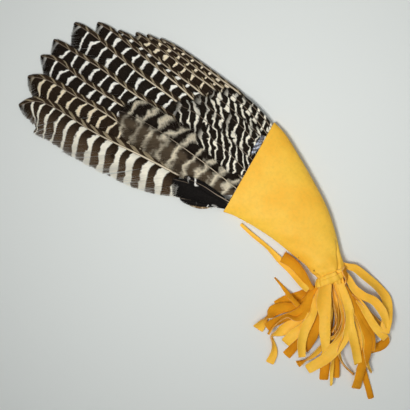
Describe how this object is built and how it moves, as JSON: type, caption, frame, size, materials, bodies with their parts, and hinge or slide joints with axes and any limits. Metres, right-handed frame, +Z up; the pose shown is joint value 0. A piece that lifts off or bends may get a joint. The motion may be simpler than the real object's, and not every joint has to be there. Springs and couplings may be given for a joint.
{
  "type": "turkey wing fan with a buckskin handle",
  "caption": "Barred turkey wing fan, its quills held in a laced buckskin sleeve that ends in a bound neck and a leather fringe",
  "frame": {"origin": "under the middle of the fan, on the plane that it lies on", "axes": "+X towards the feather tips, +Y towards the trailing edge of the wing, +Z up out of its back"},
  "size_m": [0.5686, 0.2104, 0.0293],
  "materials": {
    "primaries": "satin",
    "coverts": "satin",
    "brown_coverts": "matt",
    "alula": "satin",
    "buckskin": "satin",
    "fringe": "satin",
    "laces": "satin",
    "suede": "napped"
  },
  "bodies": {
    "root": {"primary_01": "primaries", "primary_02": "primaries", "primary_03": "primaries", "primary_04": "primaries", "primary_05": "primaries", "primary_06": "primaries", "primary_07": "primaries", "primary_08": "primaries", "primary_09": "primaries", "primary_10": "primaries", "greater_covert_1": "coverts", "greater_covert_2": "coverts", "greater_covert_3": "coverts", "greater_covert_4": "coverts", "greater_covert_5": "coverts", "greater_covert_6": "brown_coverts", "median_covert_1": "coverts", "median_covert_2": "coverts", "median_covert_3": "coverts", "median_covert_4": "coverts", "alula_1": "alula", "alula_2": "alula", "alula_3": "alula", "buckskin_sleeve": "buckskin", "binding_thong": "buckskin", "fringe_01": "fringe", "fringe_02": "fringe", "fringe_03": "fringe", "fringe_04": "fringe", "fringe_05": "fringe", "fringe_06": "fringe", "fringe_07": "fringe", "fringe_08": "fringe", "fringe_09": "fringe", "fringe_10": "fringe", "fringe_11": "fringe", "fringe_12": "fringe", "fringe_13": "fringe", "fringe_14": "fringe", "fringe_15": "fringe", "fringe_16": "fringe", "fringe_17": "fringe", "fringe_18": "fringe", "fringe_19": "fringe", "fringe_20": "fringe", "fringe_21": "fringe", "fringe_22": "fringe", "fringe_23": "fringe", "fringe_24": "fringe", "fringe_25": "fringe", "fringe_26": "fringe", "fringe_27": "fringe", "fringe_28": "fringe", "side_lace": "laces", "outer_lace": "laces", "inner_lace": "laces", "suede_tab": "suede", "pointed_lace": "suede"}
  },
  "joints": []
}
